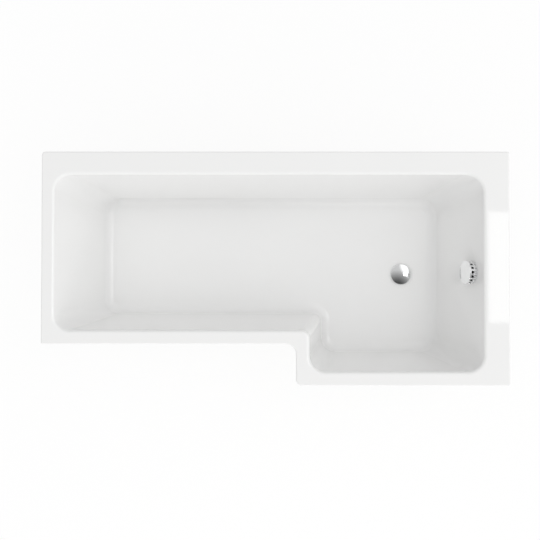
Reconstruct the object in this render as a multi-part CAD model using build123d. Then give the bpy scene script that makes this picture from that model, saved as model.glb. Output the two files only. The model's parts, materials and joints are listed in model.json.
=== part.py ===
from build123d import *
import os
from math import atan, cos, hypot, pi, radians, sin, sqrt, tan

# An L-shaped acrylic shower bath on its leg frames, with a rotary pop-up waste and overflow.
# All sizes are in millimetres. X runs from the head end (-) to the tap end (+), Y runs from the
# open side (-) to the wall (+), and Z = 0 is the bathroom floor. X = Y = 0 is the middle of the rim.

# Rim, seen from above
bath_length = 1700.0
shower_width = 850.0  # wall edge to front edge at the shower end
narrow_width = 700.0  # wall edge to front edge at the head end
shower_length = 775.0  # tap end edge to the step in the front
rim_height = 540.0  # bathroom floor to the top of the rim, feet at mid travel
rim_head = 45.0
rim_tap = 92.0
rim_back = 83.0
rim_front = 50.0
rim_shower = 50.0
rim_step = 48.0
lip_height = 42.0  # the rim's turned-down edge
rim_edge_round = 5.0
mouth_round = 12.0
corner_head_back = 14.0
corner_head_front = 6.0
corner_tap_back = 8.0
corner_tap_front = 7.0
corner_shower_front = 21.0
corner_step = 37.0

# Bathing well
tub_depth = 400.0
run_head = 140.0  # how far the backrest leans in over the depth
run_tap = 126.0
run_side = 62.0
floor_round = 40.0
well_head_back = 62.0
well_head_front = 56.0
well_tap_back = 70.0
well_tap_front = 64.0
well_shower_front = 58.0
well_step = 30.0

# Sheet thicknesses
acrylic = 5.0
bond_line = 0.3
laminate = 4.0
skin = acrylic + bond_line + laminate

# Base board and rim battens
board_thickness = 18.0
board_margin = 4.0  # inside the flat of the floor
board_corner = 30.0
board_waste_hole = 56.0  # radius
board_notch = 54.0  # width of the slot from the waste hole to the tap end
batten_height = 20.0
batten_gap = 6.0  # lip to batten and batten to the well
batten_joint = 1.0  # between the ends of two battens
batten_elbow = 12.0  # the step batten's end, short of the well's corner

# Leg frames
rail_width = 40.0
rail_height = 25.0
rail_steel = 2.0
rail_head_setback = 310.0  # from the head end edge to the rail's middle
rail_tap_setback = 440.0  # from the tap end edge
rail_reach = 93.0  # past the board's edge
stud_inset = 18.0  # from the rail's end to the stud
stud_radius = 5.0  # M10
stud_gap = 0.08
stud_point = 1.0
nut_flats = 17.0
nut_height = 8.0
foot_down = 30.0  # the most that a foot screws down
stud_spare = 14.0  # stud above the upper nut with its foot right down
pad_radius = 27.0
pad_height = 14.0
pad_round = 4.5
pad_boss_radius = 11.0
pad_boss_height = 16.0
pad_floor = 4.0  # plastic under the end of the stud
screw_head_radius = 4.5
screw_head_height = 2.6
screw_shank_radius = 2.2
screw_length = 15.0
screw_gap = 0.05
rail_screw_count = 4
rail_screw_inset = 30.0  # from the board's edge
rail_screw_stagger = 9.0

# Wall brackets
bracket_pitch = 600.0
bracket_count = 3
bracket_width = 30.0
bracket_steel = 2.0
bracket_seat = 46.0  # along the underside of the batten
bracket_drop = 76.0
bracket_gap = 2.0  # to the inside of the lip
bracket_hole_radius = 2.6
bracket_hole_rise = 12.0  # hole above the bracket's lower end
bracket_screw_pitch = 18.0

# Waste, close to the middle line of the shower well
waste_setback = 350.0  # from the tap end edge
waste_shift = 4.0  # from the middle line towards the back wall
waste_hole = 26.0
recess_radius = 47.0
recess_depth = 1.5
cap_radius = 42.0
cap_height = 12.0
cap_wall = 2.0
cap_round = 3.0
cap_crown = 6.0  # rise of the dome over its edge
cap_lift_gap = 1.0  # from the recess to the cap's edge when closed
flange_radius = 35.0
flange_thickness = 2.5
flange_bore = 20.5
seat_overhang = 0.6  # the seat's wide end outside the thread
seat_ledge = 0.5  # the seat's narrow end outside the bore
seat_depth = 3.5
throat_depth = 3.0  # from the seat's narrow end to the flange's bore
thread_radius = 23.9  # 1 1/2 inch waste thread
thread_end = -24.0
rubber = 3.0
rubber_land = 0.5  # seal bore over the hole it sits round
clamp_radius = 38.0
clamp_thickness = 4.0
socket_gap = 0.1
body_wall = 3.0
chamber_radius = 27.0
chamber_top = -26.0
chamber_floor = -53.0
tail_top = -60.0
tail_bottom = -80.0
tail_bore = 20.0
stem_radius = 4.0
slide_gap = 0.3
spider_radius = 8.0
spider_top = -6.0
spider_bottom = -14.0
spider_arm = 3.0
port_bore = 12.5
port_radius = 17.0
port_length = 62.0  # from the waste's axis to the port's end
port_height = -39.0
lever_height = -43.0
lever_arm = 14.0
lever_half_swing = 25.0
lever_thickness = 6.0
lever_hub = 5.0
lever_tip = 3.5
link_width = 3.4
lever_contact_gap = 0.4
axle_radius = 2.5
axle_gap = 0.05
axle_boss = 7.0
axle_blind = 0.5  # closed end of the axle's bore, outside the chamber's radius
axle_end_gap = 0.5
crank_arm = 16.0
crank_thickness = 5.0
crank_tip = 3.0
crank_hub = 5.0
crank_room = 3.5  # beside the crank
crank_clear = 2.0  # round the crank's swing
crank_box_wall = 2.5
plug_seal_gap = 0.5  # round the seal's lower edge, in the seat
plug_seal_thickness = 2.5
plug_pin_radius = 2.5
plug_pin_length = 3.0
plug_collar = 14.0
collar_thickness = 1.4
plug_hub = 8.0  # through the seal
plug_disc = 12.0  # under the seal
plug_disc_thickness = 1.6
cap_seat = 1.5  # the plug's collar top over the flange

# Overflow, about the line square to the tap end wall; heights run from the wall into the well
overflow_drop = 95.0  # from the rim's top down the wall's slope
overflow_hole = 27.0
grille_radius = 42.0
grille_base = 13.0
grille_front = 24.0
grille_wall = 4.0
grille_slots = 16
slot_width = 10.0
flute_radius = 5.0
flute_depth = 2.0
neck_radius = 24.0
neck_bore = 21.5
neck_end = -24.0
bearing_radius = 9.0
bearing_back = -6.0
bearing_front = 8.0
knob_radius = 44.0
knob_thickness = 6.0
knob_gap = 0.5
knob_boss = 9.0
knob_boss_back = 12.0
knob_round = 2.0
spindle_radius = 4.0
spindle_gap = 0.06
spindle_grip = 3.0  # spindle's length inside the knob's disc
clip_thickness = 1.2
clip_radius = 7.0
clip_gap = 0.35
clip_mouth = 6.4
cup_radius = 30.0
cup_floor = -50.0
cup_boss = 8.0
cup_boss_height = 6.0
spindle_end = -48.0
hose_plane = -37.0
spigot_length = 56.0
drum_plane = -31.0
drum_width = 8.0
drum_flange = 2.5
drum_groove = 3.0

# Overflow hose and control cable
hose_bore = 12.0
hose_valley = 14.5
hose_crest = 17.0
rib_pitch = 6.0
rib_crest = 1.8  # length along the hose
rib_slope = 1.2
hose_bend = 84.0
cuff_length = 34.0
washer_thickness = 2.0
union_radius = 21.5
union_length = 26.0
union_cover = 12.0  # length over the port
union_gap = 0.2
union_grips = 8
grip_radius = 2.0
cable_radius = 2.5
wire_radius = 1.0
cable_bend = 100.0
cable_top_bend = 30.0
cable_offset = 43.0  # cable to hose, along Y
gland_radius = 5.0
gland_end = 36.0
gland_grip = 6.0  # length of cable inside each gland

# Worked out from the sizes above
x_head = -bath_length / 2
x_tap = bath_length / 2
y_back = shower_width / 2
y_shower = -shower_width / 2
y_front = y_back - narrow_width
x_step = x_tap - shower_length
z_rim = rim_height
z_floor = rim_height - tub_depth
z_plate = rim_height - skin
z_board_top = z_floor - skin
z_board = z_board_top - board_thickness
z_recess = z_floor - recess_depth
waste_x = x_tap - waste_setback
y_waste = (y_back - rim_back + y_shower + rim_shower) / 2 + waste_shift
rail_head_x = x_head + rail_head_setback
rail_shower_x = x_tap - rail_tap_setback
rail_middle_x = (rail_head_x + rail_shower_x) / 2
z_flange = recess_depth + flange_thickness  # top of the waste flange, in the waste's frame
seat_radius = thread_radius + seat_overhang
seat_narrow = flange_bore + seat_ledge
under_skin = z_board_top - z_recess
drum_radius = 2 * crank_arm * sin(radians(lever_half_swing)) / (pi / 2)
tap_slope = atan(run_tap / tub_depth)

OUTLINE = (x_head, x_tap, y_back, y_front, y_shower, x_step)
MOUTH = (
    x_head + rim_head,
    x_tap - rim_tap,
    y_back - rim_back,
    y_front + rim_front,
    y_shower + rim_shower,
    x_step + rim_step,
)


def corners(head, tap, back, front, shower, step):
    """The six corners of an L, anticlockwise from the head end's front corner."""
    return [(head, front), (step, front), (step, shower), (tap, shower), (tap, back), (head, back)]


def l_block(low_corners, low_z, high_corners, high_z):
    """A block with flat faces between two L-shaped outlines at two heights."""
    low = [(x, y, low_z) for x, y in low_corners]
    high = [(x, y, high_z) for x, y in high_corners]
    faces = [Face(Wire.make_polygon(low[::-1])), Face(Wire.make_polygon(high))]
    for i in range(len(low)):
        j = (i + 1) % len(low)
        faces.append(Face(Wire.make_polygon([low[i], low[j], high[j], high[i]])))
    return Solid(Shell(faces))


def round_uprights(block, middles, radii):
    """Rounds each upright edge, found by the point at its middle, to its own radius."""
    for middle, radius in zip(middles, radii):
        edge = min(block.edges(), key=lambda e: (e.center() - Vector(*middle)).length)
        block = block.fillet(radius, [edge])
    return block


def rim_block(inset, low_z, high_z):
    """The rim's outline moved in by inset, as an upright slab with rounded corners."""
    head, tap, back, front, shower, step = OUTLINE
    plan = corners(
        head + inset, tap - inset, back - inset, front + inset, shower + inset, step + inset
    )
    middles = [(x, y, (low_z + high_z) / 2) for x, y in plan]
    convex = (corner_head_front, corner_shower_front, corner_tap_front, corner_tap_back, corner_head_back)
    front_left, shower_left, shower_right, back_right, back_left = (max(r - inset, 1.0) for r in convex)
    radii = (front_left, corner_step + inset, shower_left, shower_right, back_right, back_left)
    return round_uprights(l_block(plan, low_z, plan, high_z), middles, radii)


def well_plan(z, grow):
    """The well's six corners at height z, with every wall moved outwards by grow."""
    head, tap, back, front, shower, step = MOUTH
    down = (z_rim - z) / tub_depth
    side = down * run_side - grow * hypot(run_side, tub_depth) / tub_depth
    at_head = down * run_head - grow * hypot(run_head, tub_depth) / tub_depth
    at_tap = down * run_tap - grow * hypot(run_tap, tub_depth) / tub_depth
    return corners(head + at_head, tap - at_tap, back - side, front + side, shower + side, step + side)


def well(grow, top):
    """The bathing well as a solid, grown by a wall thickness, up to a height."""
    low, high = well_plan(z_floor - grow, grow), well_plan(top, grow)
    middle_z = (z_floor - grow + top) / 2
    middles = [((a[0] + b[0]) / 2, (a[1] + b[1]) / 2, middle_z) for a, b in zip(low, high)]
    radii = (
        well_head_front + grow,
        well_step - grow,
        well_shower_front + grow,
        well_tap_front + grow,
        well_tap_back + grow,
        well_head_back + grow,
    )
    block = round_uprights(l_block(low, z_floor - grow, high, top), middles, radii)
    floor_edges = block.faces().sort_by(Axis.Z)[0].outer_wire().edges()
    return block.fillet(floor_round + grow, floor_edges)


def disc(radius, low, high):
    """A solid cylinder on the Z axis between two heights."""
    return Pos(0, 0, (low + high) / 2) * Cylinder(radius, high - low)


def ring(outer, inner, low, high):
    """A tube on the Z axis between two heights."""
    return disc(outer, low, high) - disc(inner, low, high)


def rod(radius, start, end):
    """A solid cylinder from one point to another."""
    start, end = Vector(*start), Vector(*end)
    return Solid.make_cylinder(radius, (end - start).length, Plane(origin=start, z_dir=end - start))


def box(x0, x1, y0, y1, z0, z1):
    """A box between two X, two Y and two Z values."""
    middle = Pos((x0 + x1) / 2, (y0 + y1) / 2, (z0 + z1) / 2)
    return middle * Box(abs(x1 - x0), abs(y1 - y0), abs(z1 - z0))


def turned(profile):
    """A solid turned about Z from a closed outline of (radius, height) corners."""
    return revolve(Face(Wire.make_polygon([(r, 0, z) for r, z in profile])), Axis.Z)


def hex_nut(radius_bore, low):
    """A hexagon nut on the Z axis, standing on a height."""
    blank = Pos(0, 0, low) * extrude(RegularPolygon(nut_flats / 2, 6, major_radius=False), nut_height)
    return blank - disc(radius_bore, low, low + nut_height)


def group(solids):
    """Separate solids that share one name."""
    return Compound([part for solid in solids for part in solid.solids()])


def at_waste(shape):
    """Moves a piece from the waste's own frame to its place."""
    return Pos(waste_x, y_waste, z_recess) * shape


def overflow_frame():
    """Across the wall, down the wall, and out of the wall into the well."""
    x = x_tap - rim_tap - overflow_drop * sin(tap_slope)
    z = z_rim - overflow_drop * cos(tap_slope)
    return Plane(origin=(x, y_waste, z), x_dir=(0, 1, 0), z_dir=(-cos(tap_slope), 0, sin(tap_slope)))


def at_overflow(shape):
    """Moves a piece from the overflow's own frame to its place."""
    return overflow_frame().location * shape


# Bath shell and its reinforcement


def bath_holes():
    """The waste hole and the overflow hole, long enough for every layer."""
    waste = disc(waste_hole, -2 * skin, skin)
    overflow = disc(overflow_hole, -2 * skin, skin)
    return at_waste(waste) + at_overflow(overflow)


def bath_shell():
    rim = rim_block(0, z_rim - lip_height, z_rim)
    rim = rim.fillet(rim_edge_round, rim.faces().sort_by(Axis.Z)[-1].edges())
    below = rim_block(acrylic, z_rim - lip_height - skin, z_rim - acrylic)
    shell = rim - below + well(acrylic, z_rim - acrylic / 2) - well(0, z_rim + skin)
    mouth = shell.faces().filter_by(Axis.Z).sort_by(Axis.Z)[-1].inner_wires()[0]
    shell = fillet(mouth.edges(), mouth_round)
    recess = at_waste(disc(recess_radius, 0, 2 * recess_depth))
    return shell - recess - bath_holes()


def glassfibre_backing():
    bond = acrylic + bond_line
    plate = rim_block(bond, z_plate, z_rim - bond)
    hollow = well(bond, z_rim + skin)
    return plate + well(skin, z_rim - bond) - hollow - bath_holes()


def board_plan():
    """The board's six corners, a margin inside the flat of the floor."""
    down = (z_rim - z_board_top) / tub_depth
    insets = []
    for run in (run_head, run_tap, run_side):
        slope = atan(run / tub_depth)
        flat = (floor_round + skin) * tan((pi / 2 - slope) / 2)
        insets.append(down * run - skin / cos(slope) + flat + board_margin)
    at_head, at_tap, side = insets
    head, tap, back, front, shower, step = MOUTH
    return corners(head + at_head, tap - at_tap, back - side, front + side, shower + side, step + side)


def base_board():
    plan = board_plan()
    middles = [(x, y, (z_board + z_board_top) / 2) for x, y in plan]
    board = round_uprights(l_block(plan, z_board, plan, z_board_top), middles, [board_corner] * 6)
    hole = at_waste(disc(board_waste_hole, -2 * board_thickness - skin, skin))
    notch = box(
        waste_x, x_tap, y_waste - board_notch / 2, y_waste + board_notch / 2, z_board, z_board_top
    )
    return board - hole - notch - group(rail_screw_set(screw_shank_radius + screw_gap))


def battens():
    """The six bars under the rim, by name, each as X from, X to, Y from, Y to."""
    plate = well_plan(z_plate, skin)
    (w_head, w_front), (w_step, w_shower), (w_tap, w_back) = plate[0], plate[2], plate[4]
    inner = [edge + side * (acrylic + batten_gap) for edge, side in zip(OUTLINE, (1, -1, -1, 1, 1, 1))]
    head, tap, back, front, shower, step = inner
    head_in, tap_in = w_head - batten_gap, w_tap + batten_gap
    back_in, front_in = w_back + batten_gap, w_front - batten_gap
    shower_in, step_in = w_shower - batten_gap, w_step - batten_gap
    return {
        "batten_back": (head, tap, back_in, back),
        "batten_head_end": (head, head_in, front, back_in - batten_joint),
        "batten_tap_end": (tap_in, tap, shower_in + batten_joint, back_in - batten_joint),
        "batten_front": (head_in + batten_joint, step - batten_joint, front, front_in),
        "batten_step": (step, step_in, shower_in + batten_joint, front_in - batten_elbow),
        "batten_shower_front": (step, tap, shower, shower_in),
    }


def batten(name):
    x0, x1, y0, y1 = battens()[name]
    bar = box(x0, x1, y0, y1, z_plate - batten_height, z_plate)
    if name == "batten_back":
        bar -= group(bracket_screw_set(screw_shank_radius + screw_gap))
    return bar


# Leg frames


def rails():
    """The three cross rails, by name: X of the middle, Y of the two ends, Y of the board's edges."""
    plan = board_plan()
    front, shower, back = plan[0][1], plan[2][1], plan[4][1]
    return {
        "leg_rail_head": (rail_head_x, front - rail_reach, back + rail_reach, front, back),
        "leg_rail_middle": (rail_middle_x, front - rail_reach, back + rail_reach, front, back),
        "leg_rail_shower": (rail_shower_x, shower - rail_reach, back + rail_reach, shower, back),
    }


def feet():
    """The middle of each foot, by the end of its name."""
    spots = {}
    for name, (x, y0, y1, _, _) in rails().items():
        end = name.replace("leg_rail_", "")
        spots[end + "_front"] = (x, y0 + stud_inset)
        spots[end + "_back"] = (x, y1 - stud_inset)
    return spots


def wood_screw(shank):
    """A round-headed screw pointing up, its head's seat at Z = 0."""
    head = disc(screw_head_radius, -screw_head_height, 0)
    head = fillet(head.edges().sort_by(Axis.Z)[0], screw_head_height / 2)
    return head + disc(shank, 0, screw_length)


def rail_screw_set(shank):
    """Every screw that holds a rail to the board."""
    screws = []
    for x, _, _, edge0, edge1 in rails().values():
        first, last = edge0 + rail_screw_inset, edge1 - rail_screw_inset
        for i in range(rail_screw_count):
            y = first + (last - first) * i / (rail_screw_count - 1)
            side = rail_screw_stagger if i % 2 else -rail_screw_stagger
            screws.append(Pos(x + side, y, z_board - rail_steel) * wood_screw(shank))
    return screws


def leg_rail(name):
    x, y0, y1, _, _ = rails()[name]
    half = rail_width / 2
    rail = box(x - half, x + half, y0, y1, z_board - rail_height, z_board)
    upper = [e for e in rail.edges().filter_by(Axis.Y) if e.center().Z > z_board - 1]
    rail = fillet(upper, rail_steel)
    rail -= box(
        x - half + rail_steel, x + half - rail_steel, y0, y1, z_board - rail_height, z_board - rail_steel
    )
    for y in (y0 + stud_inset, y1 - stud_inset):
        rail -= Pos(x, y, z_board) * disc(stud_radius + stud_gap, -2 * rail_steel, rail_steel)
    return rail - group(rail_screw_set(screw_shank_radius + screw_gap))


def foot_lock_nuts():
    nuts = []
    for x, y in feet().values():
        for low in (z_board, z_board - rail_steel - nut_height):
            nuts.append(Pos(x, y, 0) * hex_nut(stud_radius + stud_gap, low))
    return group(nuts)


def foot_stud(name):
    x, y = feet()[name]
    stud = disc(stud_radius, pad_floor, z_board + nut_height + foot_down + stud_spare)
    stud = chamfer(stud.edges().filter_by(GeomType.CIRCLE).sort_by(Axis.Z)[-1], stud_point)
    return Pos(x, y, 0) * stud


def foot_pad(name):
    x, y = feet()[name]
    pad = disc(pad_radius, 0, pad_height)
    pad = fillet(pad.edges().filter_by(GeomType.CIRCLE).sort_by(Axis.Z)[-1], pad_round)
    pad += disc(pad_boss_radius, pad_floor, pad_height + pad_boss_height)
    return Pos(x, y, 0) * (pad - disc(stud_radius, pad_floor, pad_height + pad_boss_height))


# Wall brackets


def bracket_places():
    """The X of each bracket's middle."""
    return [bracket_pitch * (i - (bracket_count - 1) / 2) for i in range(bracket_count)]


def bracket_screw_set(shank):
    screws = []
    seat_end = y_back - acrylic - bracket_gap
    for x in bracket_places():
        for i in (-0.5, 0.5):
            y = seat_end - bracket_seat / 2 + i * bracket_screw_pitch
            screws.append(Pos(x, y, z_plate - batten_height - bracket_steel) * wood_screw(shank))
    return screws


def wall_brackets():
    """Cranked strips: along the batten, down inside the lip, out to the wall, and down it."""
    t = bracket_steel
    top = z_plate - batten_height
    inside = y_back - acrylic - bracket_gap
    jog = z_rim - lip_height - bracket_gap
    low = top - bracket_drop
    profile = [
        (inside - bracket_seat, top),
        (inside, top),
        (inside, jog),
        (y_back, jog),
        (y_back, low),
        (y_back - t, low),
        (y_back - t, jog - t),
        (inside - t, jog - t),
        (inside - t, top - t),
        (inside - bracket_seat, top - t),
    ]
    brackets = []
    for x in bracket_places():
        left = x - bracket_width / 2
        face = Face(Wire.make_polygon([(left, y, z) for y, z in profile]))
        strip = extrude(face, bracket_width, dir=(1, 0, 0))
        z_hole = low + bracket_hole_rise
        strip -= rod(bracket_hole_radius, (x, inside, z_hole), (x, y_back + t, z_hole))
        brackets.append(strip - group(bracket_screw_set(screw_shank_radius + screw_gap)))
    return group(brackets)


# Pop-up waste, in its own frame: Z = 0 on the floor of the recess


def spider(hole, reach, low, high):
    """Three arms and a bored hub inside a tube."""
    arms = [
        Rot(0, 0, 120 * i + 60) * box(0, reach, -spider_arm / 2, spider_arm / 2, low, high)
        for i in range(3)
    ]
    hub = disc(spider_radius, low, high)
    for arm in arms:
        hub += arm
    return hub - disc(hole, low, high)


def waste_flange():
    top = z_flange
    profile = [
        (flange_bore, thread_end),
        (thread_radius, thread_end),
        (thread_radius, recess_depth),
        (flange_radius, recess_depth),
        (flange_radius, top - flange_thickness / 2),
        (flange_radius - flange_thickness / 2, top),
        (seat_radius, top),
        (seat_narrow, top - seat_depth),
        (flange_bore, top - seat_depth - throat_depth),
    ]
    return turned(profile) + spider(stem_radius + slide_gap, flange_bore + 1, spider_bottom, spider_top)


def waste_flange_seal():
    return ring(flange_radius - 2, waste_hole + rubber_land, 0, recess_depth)


def waste_body_seal():
    return ring(clamp_radius - 1, waste_hole + rubber_land, under_skin - rubber, under_skin)


def crank_box_span():
    """Y from and to of the room that the crank swings in."""
    return cable_offset - crank_thickness / 2 - crank_room, cable_offset + crank_thickness / 2 + crank_room


def crank_side():
    """Half the room that the crank's tip needs along X."""
    return crank_arm * sin(radians(lever_half_swing)) + crank_tip + crank_clear


def crank_box(wall):
    """The room that the crank swings in, grown by a wall on all sides but the open one."""
    y0, y1 = crank_box_span()
    side = crank_side()
    low = lever_height - crank_arm - crank_tip - crank_clear
    high = lever_height + crank_hub + crank_clear
    return box(-lever_arm - side - wall, -lever_arm + side + wall, y0 - wall, y1, low - wall, high + wall)


def cable_height():
    """The height of the cable's line at the crank, halfway up the crank pin's small arc."""
    return lever_height - crank_arm * (1 + cos(radians(lever_half_swing))) / 2


def gland_face():
    """X of the end of the cable gland on the crank's box."""
    return -lever_arm + crank_side() + crank_box_wall + gland_grip


def waste_body():
    top = under_skin - rubber
    outer = thread_radius + socket_gap + body_wall
    body = turned(
        [
            (0, top),
            (clamp_radius, top),
            (clamp_radius, top - clamp_thickness),
            (outer, top - clamp_thickness - body_wall),
            (chamber_radius + body_wall, chamber_top),
            (chamber_radius + body_wall, chamber_floor),
            (thread_radius, tail_top),
            (thread_radius, tail_bottom),
            (0, tail_bottom),
        ]
    )
    y0, y1 = crank_box_span()
    body += rod(port_radius, (0, 0, port_height), (port_length, 0, port_height))
    blind = -chamber_radius - axle_blind
    body += rod(axle_boss, (-lever_arm, blind - body_wall, lever_height), (-lever_arm, y0, lever_height))
    body += crank_box(crank_box_wall)
    z_cable = cable_height()
    body += rod(gland_radius, (-lever_arm, cable_offset, z_cable), (gland_face(), cable_offset, z_cable))
    body -= turned(
        [
            (0, top),
            (thread_radius + socket_gap, top),
            (thread_radius + socket_gap, chamber_top),
            (chamber_radius, chamber_top),
            (chamber_radius, chamber_floor),
            (tail_bore, tail_top),
            (tail_bore, tail_bottom),
            (0, tail_bottom),
        ]
    )
    body -= rod(port_bore, (0, 0, port_height), (port_length, 0, port_height))
    bore = axle_radius + axle_gap
    body -= rod(bore, (-lever_arm, blind, lever_height), (-lever_arm, y1, lever_height))
    body -= crank_box(0)
    sheath_end = (gland_face() - gland_grip, cable_offset, z_cable)
    body -= rod(cable_radius, sheath_end, (gland_face(), cable_offset, z_cable))
    return body - rod(wire_radius, (-lever_arm, cable_offset, z_cable), sheath_end)


def lever_cover():
    y0, y1 = crank_box_span()
    lid = crank_box(crank_box_wall)
    bounds = lid.bounding_box()
    return box(bounds.min.X, bounds.max.X, y1, y1 + crank_box_wall, bounds.min.Z, bounds.max.Z)


def plug_top():
    """Height of the underside of the cap's plate, on the plug's collar."""
    return z_flange + cap_seat


def plug_cap():
    """A domed cap with a rounded edge, hollow underneath, bored for the plug's pin."""
    low, high = cap_lift_gap, cap_lift_gap + cap_height
    inner = cap_radius - cap_wall
    edge = (cap_radius, 0, high - cap_crown)
    crown = TangentArc((0, 0, high), edge, tangent=(1, 0, 0))
    below = Polyline(
        edge,
        (cap_radius, 0, low),
        (inner, 0, low),
        (inner, 0, plug_top()),
        (0, 0, plug_top()),
        (0, 0, high),
    )
    cap = revolve(Face(Wire([crown] + below.edges())), Axis.Z)
    rim = min(cap.edges(), key=lambda e: abs(e.center().Z - edge[2]))
    cap = cap.fillet(cap_round, [rim])
    return cap - disc(plug_pin_radius, plug_top(), plug_top() + plug_pin_length)


def stem_end():
    """Height of the stem's lower end when the plug is shut, just over the lever's tip."""
    tip = lever_height - lever_arm * sin(radians(lever_half_swing)) + lever_tip
    return tip + lever_contact_gap


def plug_seal_base():
    """Height of the plug seal's underside when the plug is shut."""
    return plug_top() - collar_thickness - plug_seal_thickness


def plug_stem():
    """The stem, the flange under the seal, the hub through it, the collar, and the pin."""
    low = plug_seal_base()
    collar = low + plug_seal_thickness
    stem = disc(stem_radius, stem_end(), low)
    stem += disc(plug_disc, low - plug_disc_thickness, low)
    stem += disc(plug_hub, low, collar)
    stem += disc(plug_collar, collar, plug_top())
    return stem + disc(plug_pin_radius, plug_top(), plug_top() + plug_pin_length)


def plug_seal():
    low = plug_seal_base()
    seat_slope = (seat_radius - seat_narrow) / seat_depth
    seat_here = seat_radius - seat_slope * (z_flange - low)
    return ring(seat_here - plug_seal_gap, plug_hub, low, low + plug_seal_thickness)


def link(hub, tip, length, angle, y0, y1):
    """A flat arm with a hub on the lever's axis and a round tip, at an angle from +X towards +Z."""
    arm = rod(hub, (0, y0, 0), (0, y1, 0)) + rod(tip, (length, y0, 0), (length, y1, 0))
    arm += box(0, length, y0, y1, -link_width / 2, link_width / 2)
    arm -= rod(axle_radius, (0, y0, 0), (0, y1, 0))
    return Pos(-lever_arm, 0, lever_height) * Rot(0, -angle, 0) * arm


def lift_lever():
    half = lever_thickness / 2
    return link(lever_hub, lever_tip, lever_arm, -lever_half_swing, -half, half)


def axle_crank():
    y0, y1 = cable_offset - crank_thickness / 2, cable_offset + crank_thickness / 2
    return link(crank_hub, crank_tip, crank_arm, -90 - lever_half_swing, y0, y1)


def lever_axle():
    y0 = -chamber_radius - axle_blind + axle_end_gap
    y1 = crank_box_span()[1] - axle_end_gap
    return rod(axle_radius, (-lever_arm, y0, lever_height), (-lever_arm, y1, lever_height))


# Overflow, in its own frame: Z = 0 on the wall, + into the well


def overflow_grille():
    """The fixed ring: fluted base, slotted front, hub for the spindle, neck through the wall."""
    inner = grille_radius - grille_wall
    body = turned(
        [
            (neck_bore, neck_end),
            (neck_radius, neck_end),
            (neck_radius, 0),
            (grille_radius, 0),
            (grille_radius, grille_front),
            (inner, grille_front),
            (inner, grille_wall),
            (neck_bore, grille_wall),
        ]
    )
    flute_centre = grille_radius + flute_radius - flute_depth
    for i in range(grille_slots):
        turn = Rot(0, 0, 360 * i / grille_slots)
        body -= turn * box(inner - 1, grille_radius + 1, -slot_width / 2, slot_width / 2, grille_base,
                           grille_front + 1)
        body -= turn * Pos(flute_centre, 0, 0) * disc(flute_radius, 0, grille_base)
    hub = disc(bearing_radius, bearing_back, bearing_front)
    for i in range(3):
        hub += Rot(0, 0, 120 * i) * box(0, neck_bore + 1, -spider_arm / 2, spider_arm / 2, bearing_back, 0)
    return body + hub - disc(spindle_radius + spindle_gap, bearing_back, bearing_front)


def overflow_seal():
    return ring(clamp_radius - 1, overflow_hole + rubber_land, -skin - rubber, -skin)


def gland_line(distance):
    """A point on the cable's line as it leaves the drum, half right, half down the wall."""
    half = sqrt(0.5)
    x = drum_radius * half + distance * half
    y = -drum_radius * half + distance * half
    return x, y, drum_plane


def overflow_body():
    top = -skin - rubber
    socket = neck_radius + socket_gap
    floor = cup_floor
    body = turned(
        [
            (0, top),
            (clamp_radius, top),
            (clamp_radius, top - clamp_thickness),
            (cup_radius, top - clamp_thickness - body_wall),
            (cup_radius, floor - body_wall),
            (0, floor - body_wall),
        ]
    )
    body += rod(port_radius, (0, 0, hose_plane), (0, spigot_length, hose_plane))
    body += rod(gland_radius, gland_line(0), gland_line(gland_end))
    body -= turned(
        [(0, top), (socket, top), (socket, neck_end), (cup_radius - body_wall, neck_end),
         (cup_radius - body_wall, floor), (0, floor)]
    )
    body -= rod(port_bore, (0, 0, hose_plane), (0, spigot_length, hose_plane))
    body -= rod(cable_radius, gland_line(gland_end - gland_grip), gland_line(gland_end))
    body -= rod(wire_radius, gland_line(0), gland_line(gland_end))
    body += disc(cup_boss, floor, floor + cup_boss_height)
    return body - disc(spindle_radius + spindle_gap, spindle_end - 1, floor + cup_boss_height)


def overflow_knob():
    low = grille_front + knob_gap
    high = low + knob_thickness
    knob = disc(knob_radius, low, high)
    knob = fillet(knob.edges().sort_by(Axis.Z)[-1], knob_round)
    knob += disc(knob_boss, knob_boss_back, low)
    return knob - disc(spindle_radius, knob_boss_back, low + spindle_grip)


def knob_spindle():
    return disc(spindle_radius, spindle_end, grille_front + knob_gap + spindle_grip)


def cable_drum():
    """A grooved wheel that takes up the cable's inner wire."""
    low, high = drum_plane - drum_width / 2, drum_plane + drum_width / 2
    groove = disc(drum_radius + drum_flange, low, high)
    groove -= ring(drum_radius + drum_flange + 1, drum_radius, drum_plane - drum_groove / 2,
                   drum_plane + drum_groove / 2)
    return groove - disc(spindle_radius, low, high)


def spindle_clip():
    """An open spring clip behind the grille's hub."""
    high = bearing_back - clip_gap
    low = high - clip_thickness
    clip = ring(clip_radius, spindle_radius, low, high)
    return clip - box(0, clip_radius, -clip_mouth / 2, clip_mouth / 2, low, high)


# Hose and cable, in the bath's frame


def to_bath(point):
    """A point of the overflow's frame in the bath's frame."""
    return overflow_frame().from_local_coords(Vector(*point))


def bend(corner, before, after, radius):
    """Start, middle and end of the arc that rounds a corner between two directions."""
    before, after = Vector(*before).normalized(), Vector(*after).normalized()
    turn = radians(before.get_angle(after))
    reach = radius * tan(turn / 2)
    start, end = corner - before * reach, corner + after * reach
    middle = corner + (after - before).normalized() * (radius / cos(turn / 2) - radius)
    return start, middle, end


def hose_path():
    """Waste port, along X, round and up the back of the wall to the overflow's spigot."""
    start = Vector(waste_x + port_length + washer_thickness, y_waste, z_recess + port_height)
    end = to_bath((0, spigot_length + washer_thickness, hose_plane))
    up = Vector(sin(tap_slope), 0, cos(tap_slope))
    corner = end - up * ((end.Z - start.Z) / up.Z)
    first, middle, last = bend(corner, (1, 0, 0), tuple(up), hose_bend)
    return Wire(
        [
            Edge.make_line(start, first),
            Edge.make_three_point_arc(first, middle, last),
            Edge.make_line(last, end),
        ]
    )


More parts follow.
